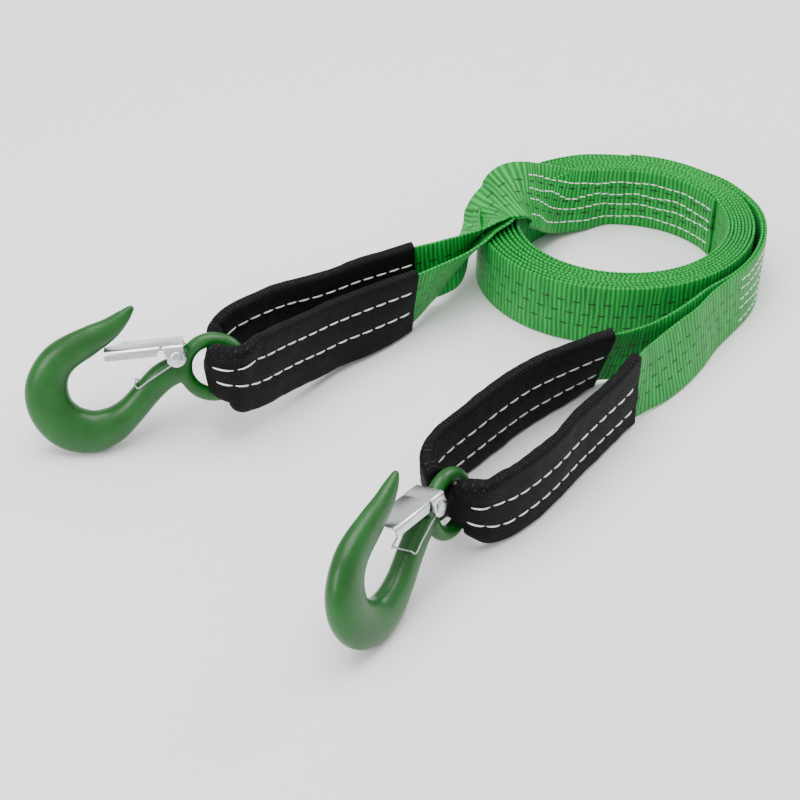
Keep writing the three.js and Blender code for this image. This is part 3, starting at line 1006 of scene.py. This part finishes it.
@dataclass
class Forging:
    """The drop-forged hook in its own frame, with its throat along v and its thickness along w.

    Each station has the place of the stock's middle along u and v, its width and its thickness.
    """

    stations: tuple[Station, ...] = (
        (17, 1, 14, 9.5),
        (24, 2, 18, 12),
        (33, -0.5, 19, 14),
        (44, -8, 18.6, 15.2),
        (60, -21, 20, 16.5),
        (73, -28, 25, 18),
        (86.6, -29.8, 29, 19),
        (100.7, -23.8, 31, 19.5),
        (109.2, -10.8, 30, 19.5),
        (109.7, 3.6, 28.5, 19),
        (104.5, 15.2, 25.3, 18),
        (95.8, 23.5, 22.9, 17),
        (76.5, 31.5, 19.5, 14),
        (61.7, 37.2, 14.8, 11.5),
        (51, 43.8, 9.5, 8.5),
        (45.6, 48, 5, 5),
    )
    pivot: tuple[float, float] = (22.0, 13.5)
    lug_radius: float = 6.0
    lug_half_width: float = 5.8
    voxel: float = 0.8
    steps: int = 120
    sides: int = 36
    ring_steps: int = 72
    ring_sides: int = 24
    lug_sides: int = 40
    fullness: float = 0.88
    relax_factor: float = 0.5
    relax_rounds: int = 8

    def __post_init__(self) -> None:
        """Makes the stock's centre line and its girth."""
        self.line = Route([(u, v, 0.0, *girth) for u, v, *girth in self.stations])

    def stock(self, length: float) -> tuple[Vector, Vector, float, float]:
        """Returns the centre, the inward direction, the width and the thickness at a length."""
        reach = 1.0
        behind, here, before = (self.line.at(length + step) for step in (-reach, 0.0, reach))
        inward = UP.cross((Vector(before[:3]) - Vector(behind[:3])).normalized())
        return Vector(here[:3]), inward, here[3], here[4]

    def build(self, name: str, place: Matrix) -> bpy.types.Object:
        """Returns the hook as one smooth object.

        Args:
            name: the object's name.
            place: the matrix from the hook's frame to the coil's.

        Returns:
            The hook.
        """
        bm = bmesh.new()

        def point(step: float, side: float) -> Vector:
            """Returns a point of the stock's rounded section."""
            middle, inward, width, thickness = self.stock(self.line.length * step / self.steps)
            angle = 2 * math.pi * side / self.sides
            cos, sin = math.cos(angle), math.sin(angle)
            x = math.copysign(abs(cos) ** self.fullness, cos) * width / 2
            y = math.copysign(abs(sin) ** self.fullness, sin) * thickness / 2
            return middle + inward * x + UP * y

        wrap_grid(bm, self.steps, self.sides, point)
        self._add_ring(bm)
        self._add_lug(bm)
        self._add_point(bm)
        made = finish_mesh(bm, name, place)
        remesh = made.modifiers.new("melt", "REMESH")
        remesh.mode = "VOXEL"
        remesh.voxel_size = self.voxel * MILLIMETRE
        melt = made.modifiers.new("relax", "SMOOTH")
        melt.factor = self.relax_factor
        melt.iterations = self.relax_rounds
        apply_modifiers(made)
        made.data.shade_smooth()
        return made

    def _add_ring(self, bm: bmesh.types.BMesh) -> None:
        """Adds the eye ring."""
        radius = RING_BORE + RING_STOCK
        turn = Matrix.Translation((radius, 0, 0)) @ Matrix.Rotation(math.pi / 2, 4, "X")
        circle = bmesh.ops.create_circle(
            bm, segments=self.ring_sides, radius=RING_STOCK, matrix=turn
        )["verts"]
        edges = list({edge for vert in circle for edge in vert.link_edges})
        spin_round(bm, circle + edges, self.ring_steps)

    def _add_lug(self, bm: bmesh.types.BMesh) -> None:
        """Adds the drilled lug of the latch, without its hole, which the rivet fills."""
        place = Matrix.Translation((*self.pivot, 0))
        bmesh.ops.create_cone(
            bm, cap_ends=True, segments=self.lug_sides, radius1=self.lug_radius,
            radius2=self.lug_radius, depth=2 * self.lug_half_width, matrix=place,
        )

    def _add_point(self, bm: bmesh.types.BMesh) -> None:
        """Rounds the hook's point with a ball."""
        middle, _, width, thickness = self.stock(self.line.length)
        place = Matrix.Translation(middle) @ Matrix.Diagonal((1, 1, thickness / width, 1))
        bmesh.ops.create_uvsphere(bm, u_segments=20, v_segments=12, radius=width / 2, matrix=place)


@dataclass
class Latch:
    """The pressed latch: a channel bent from flat sheet, with round ears at its rivet."""

    length: float = 46.0
    sheet: float = 1.6
    half_width: float = 10.4
    web_height: float = 7.7
    bend: float = 2.0
    flange: float = 6.3
    web_start: float = 9.0
    ear: float = 6.5
    ear_from: float = -22.0
    ear_to: float = 248.0
    ear_steps: int = 18
    corner: float = 1.2
    web_notch: float = 3.5
    bend_steps: int = 6
    edge_round: float = 0.25

    @property
    def bend_start(self) -> float:
        """Returns where the bend starts on the flat sheet, from its middle line."""
        return self.half_width - self.bend

    @property
    def arc(self) -> float:
        """Returns the length of the bend on the flat sheet."""
        return self.bend * math.pi / 2

    def flat_outline(self) -> list[Vector]:
        """Returns half of the flat sheet's outline, from its middle line outwards."""
        pivot = self.bend_start + self.arc + self.web_height - self.bend
        edge = pivot - (self.web_height + self.sheet / 2 - self.flange)
        points = [
            (self.length, 0.0),
            (self.length, edge - self.corner),
            (self.length - self.corner, edge),
            (self.web_start + self.web_notch, edge),
        ]
        start, stop = math.radians(self.ear_from), math.radians(self.ear_to)
        for index in range(self.ear_steps + 1):
            angle = start + (stop - start) * index / self.ear_steps
            points.append((self.ear * math.cos(angle), pivot + self.ear * math.sin(angle)))
        points += [(self.web_start, self.bend_start - 0.5), (self.web_start, 0.0)]
        return [Vector((x, y, 0.0)) for x, y in points]

    def folded(self, place: Vector) -> Vector:
        """Returns a point of the flat sheet where the bends put it."""
        across = abs(place.y)
        sense = math.copysign(1.0, place.y)
        past = across - self.bend_start
        if past <= 0:
            return Vector((place.x, self.web_height, place.y))
        if past <= self.arc:
            angle = past / self.bend
            height = self.web_height - self.bend * (1 - math.cos(angle))
            out = self.bend_start + self.bend * math.sin(angle)
            return Vector((place.x, height, sense * out))
        height = self.web_height - self.bend - (past - self.arc)
        return Vector((place.x, height, sense * self.half_width))

    def build(self, name: str, place: Matrix) -> bpy.types.Object:
        """Returns the latch as an object.

        Args:
            name: the object's name.
            place: the matrix from the latch's own frame to the coil's.

        Returns:
            The latch.
        """
        bm = bmesh.new()
        half = self.flat_outline()
        whole = half + [Vector((p.x, -p.y, 0.0)) for p in reversed(half[1:-1])]
        verts = [bm.verts.new(point) for point in whole]
        bmesh.ops.contextual_create(bm, geom=verts)
        for sense in (1, -1):
            for index in range(self.bend_steps + 1):
                across = self.bend_start + self.arc * index / self.bend_steps
                bmesh.ops.bisect_plane(
                    bm, geom=[*bm.verts, *bm.edges, *bm.faces], plane_co=(0, sense * across, 0),
                    plane_no=(0, 1, 0), dist=WELD,
                )
        for vert in bm.verts:
            vert.co = self.folded(vert.co)
        bmesh.ops.triangulate(bm, faces=bm.faces)
        bmesh.ops.recalc_face_normals(bm, faces=bm.faces)
        made = finish_mesh(bm, name, place)
        solid = made.modifiers.new("sheet", "SOLIDIFY")
        solid.thickness = self.sheet * MILLIMETRE
        solid.offset = 0.0
        solid.use_even_offset = True
        edge = made.modifiers.new("edge", "BEVEL")
        edge.width = self.edge_round * MILLIMETRE
        edge.segments = 2
        edge.limit_method = "ANGLE"
        edge.angle_limit = math.radians(50)
        apply_modifiers(made)
        shade_by_angle(made, 35.0)
        return made


def shade_by_angle(made: bpy.types.Object, degrees: float) -> None:
    """Shades a mesh smooth, apart from edges sharper than an angle."""
    made.data.shade_smooth()
    bm = bmesh.new()
    bm.from_mesh(made.data)
    for edge in bm.edges:
        edge.smooth = edge.calc_face_angle(0.0) < math.radians(degrees)
    bm.to_mesh(made.data)
    bm.free()


@dataclass
class Rivet:
    """The latch's rivet, with a low dome and a dimple at each end."""

    radius: float = 2.5
    head_radius: float = 4.2
    head_height: float = 1.3
    grip: float = 11.5
    steps: int = 32

    def build(self, name: str, place: Matrix) -> bpy.types.Object:
        """Returns the rivet as an object.

        Args:
            name: the object's name.
            place: the matrix from the rivet's own frame to the coil's.

        Returns:
            The rivet.
        """
        top = self.grip + self.head_height
        profile = [
            (0.0, top - 0.5),
            (1.1, top - 0.45),
            (1.5, top),
            (2.6, top - 0.1),
            (3.7, top - 0.45),
            (self.head_radius, self.grip + 0.35),
            (self.head_radius, self.grip),
            (self.radius, self.grip),
        ]
        outline = profile + [(radius, -height) for radius, height in reversed(profile)]
        bm = bmesh.new()
        verts = [bm.verts.new((radius, 0.0, height)) for radius, height in outline]
        edges = [bm.edges.new(pair) for pair in zip(verts, verts[1:])]
        spin_round(bm, verts + edges, self.steps)
        bmesh.ops.remove_doubles(bm, verts=bm.verts, dist=WELD)
        made = finish_mesh(bm, name, place)
        shade_by_angle(made, 40.0)
        return made


@dataclass
class LatchSpring:
    """The latch's wire spring, from under its web, round the rivet and across the hook's shank."""

    wire: float = 0.6
    coil_radius: float = 3.8
    turns: float = 1.5
    inner: float = 6.7
    outer: float = 8.7
    under_web: float = 6.0
    leg: float = 24.0
    leg_bend: float = 15.0
    leg_root: float = 7.0
    hop: tuple[float, float] = (-7.0, 5.0)
    hop_depth: float = 4.0
    side_depth: float = 2.4
    corner: float = 2.6
    coil_steps: int = 36
    bar_place: float = 0.155
    bar_gap: float = 0.3
    step: float = 0.5

    def path(self, forging: Forging, rest_angle: float) -> list[Vector]:
        """Returns the wire's points in the hook's frame.

        Args:
            forging: the hook that the spring lies on.
            rest_angle: the latch's angle at rest.

        Returns:
            The points, from one end of the wire to the other.
        """
        half = [
            Vector((self.leg, self.under_web, self.inner)),
            Vector((self.leg_bend, self.under_web, self.inner)),
            Vector((self.leg_root, (self.under_web + self.coil_radius) / 2, self.inner)),
        ]
        for index in range(self.coil_steps + 1):
            angle = math.pi / 2 + index / self.coil_steps * self.turns * 2 * math.pi
            height = self.inner + (self.outer - self.inner) * index / self.coil_steps
            around = Vector((math.cos(angle), math.sin(angle), 0))
            half.append(around * self.coil_radius + UP * height)
        turn = Matrix.Rotation(rest_angle, 3, "Z")
        half = [turn @ point + Vector((*forging.pivot, 0)) for point in half]
        middle, inward, width, _ = forging.stock(forging.line.length * self.bar_place)
        bar = middle + inward * (width / 2 + self.wire + self.bar_gap)
        half.append(bar - inward * self.hop_depth + Vector((*self.hop, self.outer)))
        half.append(bar - inward * self.side_depth + UP * self.outer)
        half.append(bar + UP * (self.outer - self.corner))
        return half + [bar] + [Vector((p.x, p.y, -p.z)) for p in reversed(half)]

    def build(
        self, name: str, place: Matrix, forging: Forging, rest_angle: float
    ) -> bpy.types.Object:
        """Returns the spring as an object.

        Args:
            name: the object's name.
            place: the matrix from the hook's frame to the coil's.
            forging: the hook that the spring lies on.
            rest_angle: the latch's angle at rest.

        Returns:
            The spring.
        """
        path = Route([(*point, 0.0) for point in self.path(forging, rest_angle)])
        count = round(path.length / self.step)
        curve = bpy.data.curves.new(name, "CURVE")
        curve.dimensions = "3D"
        curve.bevel_depth = self.wire
        curve.bevel_resolution = 3
        curve.use_fill_caps = True
        spline = curve.splines.new("POLY")
        spline.points.add(count)
        for index, point in enumerate(spline.points):
            point.co = (*path.at(path.length * index / count)[:3], 1.0)
        draft = add_object(name, curve)
        graph = bpy.context.evaluated_depsgraph_get()
        mesh = bpy.data.meshes.new_from_object(draft.evaluated_get(graph))
        bpy.data.objects.remove(draft)
        bm = bmesh.new()
        bm.from_mesh(mesh)
        return finish_mesh(bm, name, place)


@dataclass
class EndFitting:
    """A hook with its latch, rivet and spring."""

    side: Side
    forging: Forging
    latch_length: float = 46.0
    latch_height: float = 8.5
    tip_gap: float = 0.4
    arm_start: float = 0.7
    arm_step: float = 0.004
    arm_count: int = 60
    first_turn: float = -20.0
    turn_step: float = 0.1
    turn_count: int = 800

    def rest_angle(self) -> float:
        """Returns the latch's angle where its free end meets the hook's arm."""
        outline = []
        for index in range(self.arm_count):
            length = self.forging.line.length * (self.arm_start + index * self.arm_step)
            middle, inward, width, _ = self.forging.stock(length)
            outline.append(middle + inward * width / 2 - Vector((*self.forging.pivot, 0)))
        angle = math.radians(self.first_turn)
        height = self.latch_height + self.tip_gap
        for index in range(self.turn_count):
            turn = math.radians(self.first_turn + self.turn_step * index)
            ahead = Vector((math.cos(turn), math.sin(turn), 0))
            outward = Vector((-math.sin(turn), math.cos(turn), 0))
            if any(p.dot(ahead) <= self.latch_length and p.dot(outward) <= height for p in outline):
                break
            angle = turn
        return angle

    def build(self) -> None:
        """Builds the fitting's pieces and rides them on their bodies."""
        place = HOOK_PLACES[self.side].matrix()
        name = self.side.value
        angle = self.rest_angle()
        pivot = Matrix.Translation((*self.forging.pivot, 0))
        hook = self.forging.build(f"forged_hook_{name}", place)
        mount(hook, Body.HOOK.of(self.side), PAINT, [f"hook_{name}"])
        swung = place @ pivot @ Matrix.Rotation(angle, 4, "Z")
        latch = Latch().build(f"pressed_latch_{name}", swung)
        mount(latch, Body.LATCH.of(self.side), PLATE, [f"latch_{name}"])
        rivet = Rivet().build(f"rivet_{name}", place @ pivot)
        mount(rivet, Body.HOOK.of(self.side), RIVET_STEEL, [f"latch_rivet_{name}"])
        spring = LatchSpring().build(f"spring_{name}", place, self.forging, angle)
        mount(spring, Body.HOOK.of(self.side), WIRE, [f"latch_spring_{name}"])


# The woven pieces


SLEEVE_ROWS = (0.25, -0.5)
SLEEVE_STRAIGHT = 25.7
SLEEVE_SIZE = (58.0, 6.6)
SLEEVE_BUNCH = (BUNDLE[0] - 0.6, BUNDLE[1] - 1.2)
WEB_BUNCH = (15.8, 12.8)
SLEEVE_PUFF = 0.75
SLEEVE_WAVES = ((0.9, 26.0, 30.0, 1.0), (0.5, 9.0, 16.0, 2.0))
PULL_WIDTH = 3.2
PULL_DOWN = 0.85
PULL_FLAT = 0.9


def sleeve_relief(length: float, across: float, face: float) -> float:
    """Returns how far a sleeve's cloth stands off its plain shape.

    Args:
        length: the length along the strap.
        across: the distance from the sleeve's middle.
        face: the side of the sleeve.

    Returns:
        The distance, in millimetres.
    """
    side = 3.0 if face > 0 else -3.0
    waves = sum(
        height * noise.noise(Vector((length / long, across / wide, side * layer)))
        for height, long, wide, layer in SLEEVE_WAVES
    )
    off_rows = [(across - row * SLEEVE_STRAIGHT) / PULL_WIDTH for row in SLEEVE_ROWS]
    pull = min(sum(math.exp(-(off ** 2)) for off in off_rows), 1.0)
    return waves * (1.0 - PULL_FLAT * pull) + SLEEVE_PUFF - PULL_DOWN * pull


def web_relief(length: float, across: float, _face: float) -> float:
    """Returns the unevenness of the webbing, the same on both faces."""
    return 0.05 * noise.noise(Vector((length / 7, across / 12, 1.0)))


@dataclass
class Stitching:
    """Rows of separate stitches on the face of a strip."""

    strip: Strip
    thread: float = 0.58
    stitch: float = 9.5
    gap: float = 1.1
    wander: float = 0.02
    most_bunched: float = 0.45

    def row(
        self, bm: bmesh.types.BMesh, share: float, face: float, start: float, end: float
    ) -> None:
        """Adds one row of stitches to a mesh.

        Args:
            bm: the mesh.
            share: the row's place on the straight width, from -1 to 1.
            face: 1 or -1 for the strip's side.
            start: where the row starts along the route.
            end: where it ends.
        """
        place = start
        while place + self.stitch < end:
            wander = self.wander * noise.noise(Vector((place / 21, share * 30, face)))
            if self.strip.route.section(place + self.stitch / 2).bunched < self.most_bunched:
                self._stitch(bm, place, place + self.stitch, share + wander, face)
            place += self.stitch + self.gap

    def surface(self, length: float, share: float, face: float) -> tuple[Vector, Vector]:
        """Returns a point on the strip's face and the way out of it."""
        section = self.strip.route.section(length)
        size = self.strip.size(section.bunched)
        straight = across_strip(size, share)
        swell = self.strip.relief(length, straight, face)
        level = face * (size[1] / 2 + swell)
        point = section.middle + section.along * straight + section.across * level
        return point, section.across * face

    def _stitch(
        self, bm: bmesh.types.BMesh, start: float, end: float, share: float, face: float
    ) -> None:
        """Adds one stitch, whose ends dive into the cloth."""
        steps, sides = 6, 6

        def point(step: float, side: float) -> Vector:
            """Returns a point on the thread."""
            done = step / steps
            length = start + (end - start) * done
            middle, out = self.surface(length, share, face)
            ahead, _ = self.surface(length + 0.5, share, face)
            behind, _ = self.surface(length - 0.5, share, face)
            tangent = (ahead - behind).normalized()
            beside_it = tangent.cross(out).normalized()
            arch = max(math.sin(math.pi * done), 0.0) ** 0.5
            middle = middle + out * (self.thread * (1.15 * arch - 0.3))
            radius = self.thread * (0.45 + 0.55 * arch)
            angle = 2 * math.pi * side / sides
            return middle + (beside_it * math.cos(angle) * 1.15 + out * math.sin(angle)) * radius

        wrap_grid(bm, steps, sides, point)


def build_webbing(strap: Strap, route: Route) -> Strip:
    """Builds the strip of webbing over its whole route and returns it."""
    size = (strap.width, strap.thickness)
    strip = Strip(route, 0.0, route.length, size, WEB_BUNCH, step=3.4, relief=web_relief)
    made = strip.build("strap_webbing")
    mount(made, Body.STRAP.of(), WEBBING, ["webbing"])
    return strip


@dataclass(frozen=True)
class SewnPatch:
    """Where rows of sewing show on the webbing's face: the stretch of the route and its side."""

    start: float
    end: float
    face: float
    shares: tuple[float, ...]


def build_sewing(strip: Strip, strap: Strap) -> None:
    """Builds the white sewing of both doubled stretches of the strap's strip."""
    right_tail = strip.route.station_lengths[sum(strap.eye_spans[Side.RIGHT])]
    patches = (
        SewnPatch(3.0, 172.0, 1.0, (-0.66, -0.22, 0.16, 0.6)),
        SewnPatch(right_tail + 8.0, right_tail + 84.0, -1.0, (-0.72, -0.34, 0.06, 0.44, 0.76)),
    )
    bm = bmesh.new()
    sewing = Stitching(strip, thread=0.42, stitch=5.2, gap=0.9, wander=0.11)
    for patch in patches:
        for share in patch.shares:
            sewing.row(bm, share, patch.face, patch.start, patch.end)
    thread = finish_mesh(bm, "webbing_thread")
    mount(thread, Body.STRAP.of(), THREAD)


def build_sleeves(strap: Strap, route: Route) -> None:
    """Builds the sleeve and its stitching at both ends, a few stations short of each eye's."""
    bare, margin = 5, 2
    for side in Side:
        first, count = strap.eye_spans[side]
        start = route.station_lengths[first + bare]
        end = route.station_lengths[first + count - 1 - bare]
        tube = Strip(
            route, start, end, SLEEVE_SIZE, SLEEVE_BUNCH,
            step=2.4, across_count=16, round_count=5, relief=sleeve_relief,
        )
        made = tube.build(f"fabric_sleeve_{side.value}")
        mount(made, Body.STRAP.of(), SLEEVE, [f"sleeve_{side.value}"])
        bm = bmesh.new()
        sewing = Stitching(tube)
        for row in SLEEVE_ROWS:
            for face in (1.0, -1.0):
                sewing.row(bm, row, face, start + margin, end - margin)
        thread = finish_mesh(bm, f"sleeve_thread_{side.value}")
        mount(thread, Body.STRAP.of(), THREAD)


# The stage


LIGHTS: dict[str, tuple[tuple[float, float, float], float, float]] = {
    "overhead": ((-0.2, 0.1, 1.6), 1.6, 34.0),
    "front_left": ((-1.3, -1.2, 1.1), 1.0, 18.0),
    "back_right": ((1.2, 1.0, 1.3), 0.9, 16.0),
}


@dataclass
class Studio:
    """The floor, the lights and the camera."""

    camera_at: Vector = field(default_factory=lambda: Vector((-158.4, -1117.1, 881.5)))
    depression: float = 42.0
    lens: float = 87.1
    floor_size: float = 4000.0

    def build(self) -> None:
        """Makes the stage."""
        self._camera()
        self._floor()
        self._lights()

    def _camera(self) -> None:
        """Places the camera at the photograph's angle."""
        data = bpy.data.cameras.new("camera")
        data.lens = self.lens
        data.sensor_width = 36.0
        data.clip_start, data.clip_end = 0.05, 20.0
        made = add_object("camera", data)
        made.location = (self.camera_at + SHIFT) * MILLIMETRE
        made.rotation_euler = (math.radians(90 - self.depression), 0.0, 0.0)
        bpy.context.scene.camera = made

    def _floor(self) -> None:
        """Makes the floor, level with the lowest point of the part."""
        bm = bmesh.new()
        bmesh.ops.create_grid(bm, x_segments=1, y_segments=1, size=self.floor_size)
        made = finish_mesh(bm, "floor")
        made.data.transform(Matrix.Translation((0, 0, -SHIFT.z * MILLIMETRE)))
        made.data.materials.append(PaleFloor().material())

    def _lights(self) -> None:
        """Makes the soft studio lights and the pale surroundings."""
        world = bpy.data.worlds.new("surroundings")
        world.use_nodes = True
        background = world.node_tree.nodes["Background"].inputs
        background["Color"].default_value = (1.0, 1.0, 1.0, 1.0)
        background["Strength"].default_value = 1.0
        bpy.context.scene.world = world
        for name, (place, size, power) in LIGHTS.items():
            data = bpy.data.lights.new(name, "AREA")
            data.shape = "DISK"
            data.size = size
            data.energy = power
            made = add_object(name, data)
            made.location = place
            made.rotation_euler = (-Vector(place)).to_track_quat("-Z", "Y").to_euler()


def main() -> None:
    """Builds the strap, its fittings and the stage."""
    logging.basicConfig(level=logging.INFO, format="%(name)s: %(message)s")
    Studio().build()
    strap = Strap()
    route = strap.route()
    LOG.info("webbing: %.2f m long", route.length * MILLIMETRE)
    strip = build_webbing(strap, route)
    build_sewing(strip, strap)
    build_sleeves(strap, route)
    for side in Side:
        EndFitting(side, Forging()).build()


if __name__ == "__main__":
    main()
